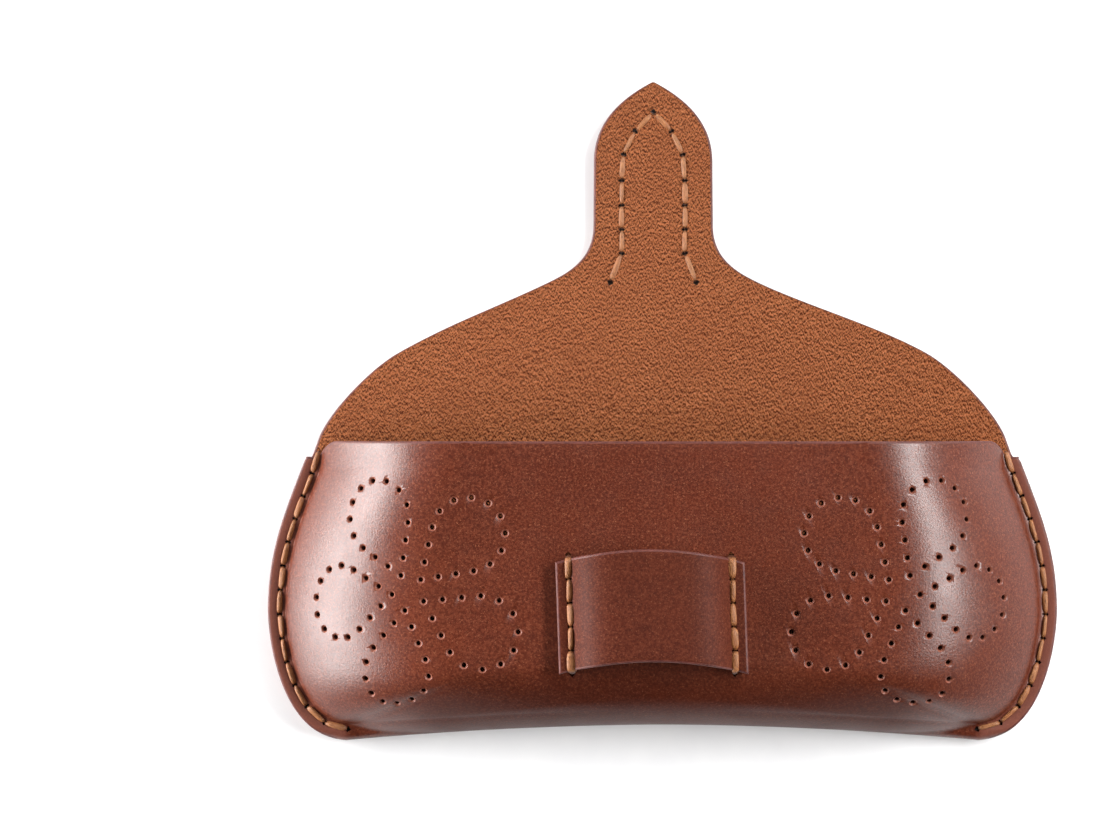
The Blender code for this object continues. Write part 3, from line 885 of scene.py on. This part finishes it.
def rim_material(name):
    """Burnished cut edges, dark and slightly shiny, with fibres along them."""
    g = Graph(name)
    rest = g.rest()
    streaks = g.noise(g.stretched(rest, (0.5, 0.5, 5.0)), 1.4, 3.0, 0.6)
    blotches = g.noise(rest, 0.22, 3.0, 0.5)
    colour = g.mix(g.between(streaks, 0.35, 0.7), rgb(60, 24, 22), rgb(108, 58, 46))
    colour = g.tint(colour, blotches, 0.4, 0.7, 0.5, (92, 44, 40))
    normal = g.bump(streaks, 0.4, 0.2)
    return g.finish(colour, 0.52, normal, Specular_IOR_Level=0.35)


def hole_material(name, low, high, roughness):
    """Raw leather inside the punched holes, painted very dark as painted shade, or a paler ring
    round their mouths as a painted highlight.
    """
    g = Graph(name)
    fuzz = g.noise(g.rest(), 2.5, 3.0, 0.6)
    colour = g.mix(fuzz, low, high)
    return g.finish(colour, roughness, g.bump(fuzz, 0.5, 0.2), Specular_IOR_Level=0.3)


def thread_material(name):
    """Waxed linen thread: fibres along its twist, with painted shade where it enters a hole."""
    g = Graph(name)
    strand = g.value("strand", "Vector")
    fibres = g.noise(g.stretched(strand, (0.9, 4.5, 1.0)), 1.6, 3.0, 0.7)
    patches = g.noise(strand, 0.35, 2.0, 0.5)
    colour = g.mix(g.between(fibres, 0.38, 0.66), rgb(92, 48, 22), rgb(184, 124, 74))
    colour = g.tint(colour, patches, 0.4, 0.7, 0.45, (160, 92, 46))
    # Painted shade where the thread enters a hole.
    colour = g.tint(colour, g.value("hole_shade"), 0.0, 1.0, 0.92, (60, 26, 12))
    normal = g.bump(fibres, 0.5, 0.22)
    return g.finish(colour, 0.5, normal, Specular_IOR_Level=0.45, Coat_Weight=0.1,
                    Coat_Roughness=0.35)


grain = grain_material("grain_leather", 0.28, 0.38, 0.44, 0.0)
strap_grain = grain_material("strap_leather", 0.54, 0.66, 0.12, 0.3)
suede = suede_material("suede_leather")
rim = rim_material("burnished_edge")
# Painted shade: the raw leather inside the holes is painted very dark.
hole_wall_shade = hole_material("hole_wall_shade", rgb(34, 13, 8), rgb(74, 36, 24), 0.8)
# Painted highlight: the paler ring round each punched hole's mouth.
lit_hole_rim = hole_material("hole_rim_highlight", rgb(100, 50, 36), rgb(146, 90, 72), 0.38)
thread = thread_material("waxed_thread")


def dress_leather(obj, top=grain):
    for material in (top, suede, rim):
        obj.data.materials.append(material)


def mark_leather(obj, edges, holes, edge_reach, hole_reach):
    """Stores how near each point is to a cut edge and to a hole, and its rest place; nearness to a
    hole drives painted shade.
    """
    add_values(obj, "edge", nearness(obj, edges, edge_reach))
    add_values(obj, "hole_shade", nearness(obj, holes, hole_reach))
    add_values(obj, "rest", coordinates(obj))


# ---- stitches ----

STITCH_STEPS = 28
STITCH_SIDES = 16
STITCH_REACH = 0.435  # share of the holes' distance, each side of its middle
STITCH_EVENNESS = 0.62
STITCH_FULLNESS = 0.55
THREAD_TWIST = 0.55 * math.pi
THREAD_LIFT = 0.34  # share of the thread's height that stands above the leather
PLY_DEPTH = 0.17
END_SIZE = 0.44
BODY_SIZE = 0.56
SPREAD_WIDTH = 0.16  # how unlike each other the stitches are
SPREAD_BOW = 0.22
END_SWELL = 1.4  # the doubled thread at a run's deep ends
Run = namedtuple("Run", "holes surface up height width end_depth", defaults=(1.0,))


def stitch_line(start, end, surface, up, depths, lift, bow):
    """A stitch's centre line: out of one hole, along the leather and into the next."""
    length = math.dist(start, end)
    ux, uy = (end[0] - start[0]) / length, (end[1] - start[1]) / length
    line = []
    for i in range(STITCH_STEPS + 1):
        turn = math.pi * i / STITCH_STEPS
        cos, sin = math.cos(turn), math.sin(turn)
        share = 0.5 - STITCH_REACH * math.copysign(abs(cos) ** STITCH_EVENNESS, cos)
        depth = depths[0] if share < 0.5 else depths[1]
        rise = max(sin, 0.0) ** STITCH_FULLNESS
        height = (depth + lift) * rise - depth
        x = start[0] + ux * length * share - uy * bow * sin
        y = start[1] + uy * length * share + ux * bow * sin
        line.append((Vector((x, y, surface + up * height)), sin, height))
    return line, Vector((-uy, ux, 0.0))


def add_stitch(data, line, side, width, height, seed):
    """A flattened two-ply strand along a centre line, thinner at its ends."""
    points, faces, strand, hole_shade = data
    sides = STITCH_SIDES
    first = len(points)
    for i, (centre, body, above) in enumerate(line):
        before = line[max(i - 1, 0)][0]
        after = line[min(i + 1, len(line) - 1)][0]
        upward = (after - before).normalized().cross(side).normalized()
        fat = END_SIZE + BODY_SIZE * max(body, 0.0) ** 0.7
        turn = seed + THREAD_TWIST * i / len(line)
        for k in range(sides):
            angle = 2 * math.pi * k / sides
            ply = 1 + PLY_DEPTH * math.cos(2 * (angle - turn))
            across = math.cos(angle) * width / 2 * fat * ply
            over = math.sin(angle) * height / 2 * (0.6 + 0.4 * fat) * ply
            points.append(centre + side * across + upward * over)
            strand.append((0.25 * i + 9 * seed, angle + turn, seed))
            # Painted shade where the thread sinks below the leather into its hole.
            hole_shade.append(1 - smoothstep(-0.45, 0.12, above))
    for a in range(first, first + (len(line) - 1) * sides, sides):
        for k in range(sides):
            j = (k + 1) % sides
            faces.append((a + k, a + j, a + sides + j, a + sides + k))
    last = first + (len(line) - 1) * sides
    faces += [range(first, first + sides), range(last, last + sides)]


def make_stitches(name, body, runs, *nodes):
    """A thread's stitches as one piece.

    A run has its holes, the leather's height there, 1 for the front or -1 for the back,
    the thread's height and width, and how deep its first and last ends go.
    """
    data = points, faces, strand, hole_shade = [], [], [], []
    for holes, surface, up, height, width, end_depth in runs:
        for i, (start, end) in enumerate(zip(holes, holes[1:])):
            depths = [end_depth if i == end else 1.0 for end in (0, len(holes) - 2)]
            thick = width * (1 + (random.random() - 0.5) * SPREAD_WIDTH)
            if max(depths) > 1:
                thick *= END_SWELL
            bow = (random.random() - 0.5) * SPREAD_BOW
            lift = height * THREAD_LIFT
            line, side = stitch_line(start, end, surface, up, depths, lift, bow)
            add_stitch(data, line, side, thick, height, random.random() * math.pi)
    obj = link_mesh(name, points, faces, weld=False)
    add_values(obj, "strand", strand)
    add_values(obj, "hole_shade", hole_shade)
    smooth(obj, 60)
    obj.data.materials.append(thread)
    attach(obj, body)
    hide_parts(*nodes)


# ---- the keeper ----

KEEPER_SPAN = 16.7
KEEPER_ROUND = 5
KEEPER_DROP = 3.1
KEEPER_LEAN = 0.035
KEEPER_MIDDLE_Y = -45.0
KEEPER_TOP_Y = -31.1
KEEPER_BOTTOM_Y = -56.4
KEEPER_X = -3.0
KEEPER_HALF = 21.4
KEEPER_HOLE_OUT = 0.8  # the end holes lie just past the strap
KEEPER_COLUMNS = 84
KEEPER_ROWS = 24
KEEPER_SEAT = KEEPER_LOW.z
KEEPER_RISE = KEEPER_HIGH.z - KEEPER_LOW.z - LEATHER


def keeper_rise(u):
    return KEEPER_RISE * (1 - min(abs(u) / KEEPER_SPAN, 1.0) ** KEEPER_ROUND)


def keeper_y(u, edge_y):
    return edge_y - KEEPER_DROP * (u / KEEPER_HALF) ** 2


def keeper_x(u, y):
    return KEEPER_X + u - KEEPER_LEAN * (y - KEEPER_MIDDLE_Y)


def keeper_holes(side):
    u = side * KEEPER_STITCH
    top = keeper_y(u, KEEPER_TOP_Y) + KEEPER_HOLE_OUT
    bottom = keeper_y(u, KEEPER_BOTTOM_Y) - KEEPER_HOLE_OUT
    ys = [top + (bottom - top) * i / KEEPER_GAPS for i in range(KEEPER_GAPS + 1)]
    return [(keeper_x(u, y), y) for y in ys]


def strap_top(x, under):
    """Height of the strap's outer face, everywhere one leather's thickness from the inner."""
    best = 0.0
    for u, z in under:
        if abs(x - u) < LEATHER:
            best = max(best, z + math.sqrt(LEATHER ** 2 - (x - u) ** 2))
    return best


def spread(low, high, count, edge_steps):
    """Even steps between two places, with the given finer steps at both ends."""
    width = high - low
    inner = [edge_steps[-1] + (width - 2 * edge_steps[-1]) * k / count for k in range(1, count)]
    distances = list(edge_steps) + inner + [width - d for d in reversed(edge_steps)]
    return [low + d for d in distances]


def keeper_outline():
    """Points along the strap's four cut edges."""
    edges = []
    for edge_y in (KEEPER_TOP_Y, KEEPER_BOTTOM_Y):
        for u in np.linspace(-KEEPER_HALF, KEEPER_HALF, 120):
            y = keeper_y(u, edge_y)
            edges.append((keeper_x(u, y), y))
    ends = [keeper_y(KEEPER_HALF, edge_y) for edge_y in (KEEPER_TOP_Y, KEEPER_BOTTOM_Y)]
    for u in (KEEPER_HALF, -KEEPER_HALF):
        edges += [(keeper_x(u, y), y) for y in np.linspace(*ends, 60)]
    return edges


def make_keeper():
    dense = [KEEPER_HALF * (i / 300 - 1) for i in range(601)]
    dense = [(u, KEEPER_SEAT + keeper_rise(u)) for u in dense]
    width = KEEPER_TOP_Y - KEEPER_BOTTOM_Y
    us = spread(-KEEPER_HALF, KEEPER_HALF, KEEPER_COLUMNS, RIM_STEPS)
    ds = spread(0.0, width, KEEPER_ROWS, RIM_STEPS)
    under = [KEEPER_SEAT + keeper_rise(u) for u in us]
    over = [strap_top(u, dense) for u in us]
    sheet = Sheet()
    tops, bottoms = [], []
    for d in ds:
        top_row, bottom_row = [], []
        for u, low, high in zip(us, under, over):
            y = keeper_y(u, KEEPER_TOP_Y - d)
            gap = min(KEEPER_HALF - abs(u), d, width - d)
            drop = round_drop(gap, RIM_ROUND)
            top_row.append((keeper_x(u, y), y, high - drop))
            bottom_row.append((keeper_x(u, y), y, low))
        tops.append(sheet.add_row(top_row))
        bottoms.append(sheet.add_row(bottom_row))
    for j, (a, b) in enumerate(zip(tops, tops[1:])):
        at_end = j < RIM_FACES or j >= len(tops) - 1 - RIM_FACES
        sheet.strip(a, b, RIM if at_end else GRAIN, (RIM_FACES, RIM_FACES))
    sheet.surface(bottoms, SUEDE)
    sheet.walls(tops, bottoms)
    obj = sheet.make("keeper_leather")
    dress_leather(obj, strap_grain)
    punches = []
    for side in (1, -1):
        punches += awls(keeper_holes(side), DOME_TOP, KEEPER_HIGH.z)[1:-1]
    cut_holes(obj, make_cutter("keeper_awl", punches, hole_wall_shade))
    smooth(obj, 50)
    mark_leather(obj, keeper_outline(), keeper_holes(1) + keeper_holes(-1), 1.1, 1.1)
    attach(obj, "pocket")
    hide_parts("keeper_strap")


# ---- the pocket ----

def fold_shade_and_dulling(x, y):
    """1 along the turn of the bottom, where the leather is painted darker as painted shade and
    made duller.
    """
    return ((1 - smoothstep(*FOLD_SHADE_Y, y - fold_y(x)))
            * (1 - smoothstep(*FOLD_SHADE_X, abs(x))))


def place_flowers(tree):
    """Where the holes of both flowers come on the curved leather."""
    flat = flower_holes()
    spots = []
    for side in (1, -1):
        centre = (side * FLOWER_X + FLOWER_SHIFT, FLOWER_Y)
        for x, y in flat:
            across = -side * x
            if across * side > 0:
                across *= OUTER_SQUEEZE[side]
            spots.append(wrap(tree, centre, (across, y)))
    return spots


def make_pocket():
    stations = pocket_stations()
    back_stations = pocket_stations(BACK_TOP_Y)
    sheet = Sheet()
    add_front(sheet, stations)
    add_fold(sheet, [s for s in stations if s.on_fold])
    add_back(sheet, back_stations)
    obj = sheet.make("pocket_leather")
    dress_leather(obj)
    mesh = obj.data
    tree = BVHTree.FromPolygons([v.co for v in mesh.vertices],
                                [p.vertices for p in mesh.polygons])
    flower_spots = place_flowers(tree)
    punches = [Punch(*drop_on(tree, *spot), PUNCH_PROFILE, PUNCH_RADIUS, PUNCH_SIDES)
               for spot in flower_spots]
    seams = [seam_holes(side) for side in (1, -1)]
    tabs = [keeper_holes(side) for side in (1, -1)]
    for holes in seams:
        punches += awls(holes, -1.0, LAYERS + 1.0)[1:]
    for holes in tabs:
        punches += awls(holes, DOME_TOP - 5.0, DOME_TOP + 0.9)
    cut_holes(obj, make_cutter("pocket_punches", punches, hole_wall_shade, lit_hole_rim))
    smooth(obj, 42)
    seam = seam_edge()
    edges = [(x, MOUTH_Y - mouth_drop(x)) for x in np.linspace(-MOUTH_HALF, MOUTH_HALF, 400)]
    dense = []
    for a, b in zip(seam, seam[1:]):
        dense += [a, part_way(a, b, 0.5)]
    dense += mirrored(dense)
    stitch_spots = [hole for holes in seams + tabs for hole in holes]
    mark_leather(obj, edges + dense, stitch_spots + flower_spots, 1.0, 1.0)
    add_values(obj, "margin", nearness(obj, dense, MARGIN_WEAR))
    # The fold attribute carries the painted shade, and the dulling, along the bottom's turn.
    add_values(obj, "fold", [fold_shade_and_dulling(x, y) for x, y, _ in coordinates(obj)])
    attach(obj, "pocket")
    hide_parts("front_panel", "bottom_fold", "back_panel")
    return seams, tabs


# ---- the flap ----

FLAP_EDGE = [FLAP_START] + bezier(FLAP_SHOULDER, 30) + bezier(FLAP_SLOPE, 30)[1:]
FLAP_EDGE += bezier(FLAP_FILLET, 30)[1:] + bezier(FLAP_POINT, 60)
FLAP_OUTLINE = [FLAP_OUTLINE_START] + FLAP_EDGE


def tongue_shift(y):
    return TONGUE_SHIFT * smoothstep(*TONGUE_SHIFT_Y, y)


def half_width(y):
    on_pocket = y < FLAP_START_Y
    line = SIDE if on_pocket else FLAP_EDGE
    for (x0, y0), (x1, y1) in zip(line, line[1:]):
        if min(y0, y1) <= y <= max(y0, y1):
            half = x0 + (x1 - x0) * (y - y0) / (y1 - y0)
            step = FLAP_SET_IN * smoothstep(BACK_TOP_Y, FLAP_START_Y, y)
            return half - step if on_pocket else half
    return 0.0


def flap_wave(x, y):
    """The open flap doesn't lie quite flat."""
    ramp = smoothstep(-2.0, 20.0, y)
    wave = WAVE * (1 + math.sin(x * 0.055 + 0.6) * math.sin(y * 0.07 + 0.4))
    return ramp * (wave + TIP_LIFT * smoothstep(45.0, TIP_Y, y))


def flap_rows(low, high):
    tip = high >= TIP_Y
    steps = (0.15, 0.3, 0.5) if tip else (0.0,)
    end = high - steps[-1]
    count = max(2, round((end - low) / FLAP_ROW_GAP))
    rows = [low + (end - low) * i / count for i in range(count)]
    return rows + [high - step for step in reversed(steps)]


def flap_columns(half):
    """Places across the flap, closer together at its rounded edges."""
    room = min(1.0, half / 3)
    return spread(-half, half, FLAP_COLUMNS, [step * room for step in RIM_STEPS])


def make_flap_skin(name, low, high, node):
    """One stretch of the flap, between two heights."""
    tip = high >= TIP_Y
    outline = [(x, y) for x, y in FLAP_OUTLINE if low - 4 < y < high + 4]
    holes = tongue_holes()
    sheet = Sheet()
    tops, bottoms = [], []
    for y in flap_rows(low, high):
        half = half_width(y)
        shift = tongue_shift(y)
        top_row, bottom_row = [], []
        for x in flap_columns(half):
            px = x + shift
            wave = flap_wave(px, y)
            sink, channel, drop = 0.0, 0.0, 0.0
            if half - abs(x) < 2.0 and y > -10:
                drop = round_drop(line_distance((abs(x), y), outline), RIM_ROUND)
            if tip and y > TONGUE_FROM[1] and abs(x) < TONGUE_FROM[0]:
                away = line_distance((px, y), holes)
                sink = TONGUE_SINK * math.exp(-(away / 0.8) ** 2)
                channel = TONGUE_CHANNEL * (1 - smoothstep(0.65, 1.0, away))
            top_row.append((px, y, LEATHER + wave - sink - drop))
            bottom = max(0.02, wave) * smoothstep(-4.0, 4.0, y)
            bottom_row.append((px, y, bottom + channel + 0.8 * drop))
        tops.append(sheet.add_row(top_row))
        bottoms.append(sheet.add_row(bottom_row))
    sheet.surface(tops, SUEDE, (RIM_FACES, RIM_FACES))
    sheet.surface(bottoms, GRAIN, (RIM_FACES, RIM_FACES))
    sheet.walls(tops, bottoms)
    obj = sheet.make(name)
    dress_leather(obj)
    if tip:
        punches = awls(holes, -2.0, LEATHER + 3.0)
        cut_holes(obj, make_cutter("tongue_awl", punches, hole_wall_shade))
    smooth(obj, 50)
    edges = [(s * x + tongue_shift(y), y) for x, y in FLAP_EDGE for s in (1, -1)]
    mark_leather(obj, edges, holes if tip else [], 1.3, 1.1)
    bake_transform(obj)
    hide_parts(node)


def make_flap():
    mid_bridge = (BEND_Y + CURL_Y) / 2
    make_flap_skin("flap_crease_leather", BACK_TOP_Y, CREASE_SKIN_TOP_Y,
                   "flap_back")
    make_flap_skin("flap_bend_leather", CREASE_SKIN_TOP_Y, mid_bridge,
                   "flap_bridge")
    make_flap_skin("flap_tongue_leather", mid_bridge, TIP_Y,
                   "flap_tongue")


# ---- floor, light and camera, in metres and watts ----

CAMERA_OVER = (-0.0248, -0.0012)
CAMERA_HEIGHT = 1.1
VIEW_WIDTH = 0.257
SOFTBOXES = {  # place, aim, size and power
    "left_softbox": ((-0.75, 0.03, 0.17), (-0.06, -0.03, 0.02), (0.95, 0.32), 21.0),
    "right_softbox": ((0.62, 0.16, 0.52), (0.04, -0.03, 0.01), (0.9, 0.15), 13.0),
    "back_softbox": ((0.2, 0.95, 0.8), (0.0, 0.0, 0.0), (1.2, 0.6), 5.0),
}
WORLD_RAMP = {"From Min": -0.45, "From Max": 0.8, "To Min": 0.03, "To Max": 0.3}

def make_floor():
    """A pale table that curves up far behind the object."""
    points, faces = [], []
    xs = (-3.0, -1.0, 1.0, 3.0)
    turn_y, turn_radius = 2.4, 0.6
    rows = [(-3.0, 0.0), (-1.0, 0.0), (1.0, 0.0), (turn_y, 0.0)]
    rows += [(turn_y + math.sin(a) * turn_radius, turn_radius - math.cos(a) * turn_radius)
             for a in (math.pi / 2 * k / 8 for k in range(1, 9))]
    rows.append((3.0, 2.5))
    for y, z in rows:
        points += [(x / MM, y / MM, z / MM - 0.05) for x in xs]
    width = len(xs)
    for a in range(0, (len(rows) - 1) * width, width):
        faces += [(i, i + 1, i + width + 1, i + width) for i in range(a, a + width - 1)]
    floor = link_mesh("floor", points, faces)
    floor.data.shade_smooth()
    g = Graph("pale_table")
    coord = g.add("ShaderNodeTexCoord").outputs["Object"]
    grainy = g.noise(coord, 90.0, 3.0)
    colour = g.mix(g.between(grainy, 0.3, 0.7), rgb(243, 243, 244), rgb(248, 248, 248))
    floor.data.materials.append(g.finish(colour, 0.75, g.bump(grainy, 0.05, 0.2)))


def add_light(name, position, target, size, power):
    light = bpy.data.lights.new(name, "AREA")
    light.shape = "RECTANGLE"
    light.size, light.size_y = size
    light.energy = power
    obj = bpy.data.objects.new(name, light)
    bpy.context.scene.collection.objects.link(obj)
    obj.location = position
    obj.rotation_euler = (Vector(target) - Vector(position)).to_track_quat("-Z", "Y").to_euler()


def make_world():
    """Soft surroundings: light behind the case and dim in front of it."""
    world = bpy.data.worlds.new("studio")
    world.use_nodes = True
    tree = world.node_tree
    direction = tree.nodes.new("ShaderNodeTexCoord").outputs["Generated"]
    split = tree.nodes.new("ShaderNodeSeparateXYZ")
    strength = tree.nodes.new("ShaderNodeMapRange")
    strength.interpolation_type = "SMOOTHSTEP"
    for name, value in WORLD_RAMP.items():
        strength.inputs[name].default_value = value
    tree.links.new(direction, split.inputs[0])
    tree.links.new(split.outputs["Y"], strength.inputs["Value"])
    tree.links.new(strength.outputs[0], tree.nodes["Background"].inputs["Strength"])
    tree.nodes["Background"].inputs["Color"].default_value = (1.0, 1.0, 1.0, 1.0)
    bpy.context.scene.world = world


def make_camera():
    """Straight above, a little left of the case's middle."""
    camera = bpy.data.cameras.new("camera")
    camera.sensor_width = 36.0
    camera.lens = camera.sensor_width * CAMERA_HEIGHT / VIEW_WIDTH
    camera.clip_end = 20.0
    obj = bpy.data.objects.new("camera", camera)
    bpy.context.scene.collection.objects.link(obj)
    obj.location = (*CAMERA_OVER, CAMERA_HEIGHT)
    bpy.context.scene.camera = obj


random.seed(7)
bpy.context.scene.view_settings.view_transform = "Standard"
seams, tabs = make_pocket()
make_keeper()
make_flap()
for side, holes in zip(("right", "left"), seams):
    runs = [Run(holes, LAYERS - SEAM_SINK, 1, 0.8, 1.2),
            Run(holes[1:], BACK_GROOVE_DEPTH, -1, 0.7, 1.25)]
    make_stitches("side_stitches_" + side, "pocket", runs, "side_thread_" + side)
for side, holes in zip(("right", "left"), tabs):
    strap = KEEPER_SEAT + LEATHER
    runs = [Run(holes, strap, 1, 0.95, 1.45, strap - DOME_TOP + 0.6),
            Run(holes, DOME_TOP - CROWN - LEATHER, -1, 0.7, 1.25)]
    make_stitches("keeper_stitches_" + side, "pocket", runs, "keeper_thread_" + side)
holes = tongue_holes()
runs = [Run(holes, LEATHER - TONGUE_THREAD_SINK, 1, 0.65, 1.15),
        Run(holes, TONGUE_CHANNEL, -1, 0.7, 1.2)]
make_stitches("tongue_stitches", "flap_tongue", runs, "tongue_thread")
make_floor()
make_world()
for name, settings in SOFTBOXES.items():
    add_light(name, *settings)
make_camera()
